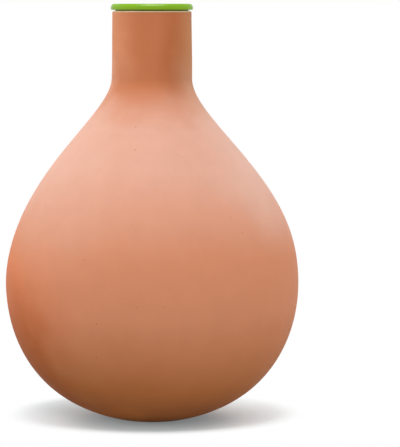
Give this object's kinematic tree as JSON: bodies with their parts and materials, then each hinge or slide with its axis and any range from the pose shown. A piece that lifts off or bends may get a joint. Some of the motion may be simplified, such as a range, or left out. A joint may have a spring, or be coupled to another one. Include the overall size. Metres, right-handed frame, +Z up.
{
  "type": "irrigation olla",
  "caption": "Unglazed clay watering vessel: pear-shaped hollow body with a straight neck, buried up to the neck, closed by a flat green lid with a hollow plug and a finned seal.",
  "frame": {"origin": "centre of the vessel's flat foot, on the surface it stands on", "axes": "+Z up along the vessel's axis, from the foot to the lid; X and Y are level, and the object looks the same round Z"},
  "size_m": [0.219, 0.219, 0.31],
  "materials": {
    "unglazed_clay": "matt unglazed terracotta",
    "green_lid_moulding": "satin moulded plastic",
    "seal_rubber": "matt soft rubber"
  },
  "bodies": {
    "vessel": {"clay_vessel": "unglazed_clay"},
    "lid": {"lid_cap": "green_lid_moulding", "seal_ring": "seal_rubber"}
  },
  "joints": [
    {"name": "lid_lift", "type": "slide", "parent": "vessel", "child": "lid", "axis": [0, 0, 1], "range_m": [0, 0.08]}
  ]
}
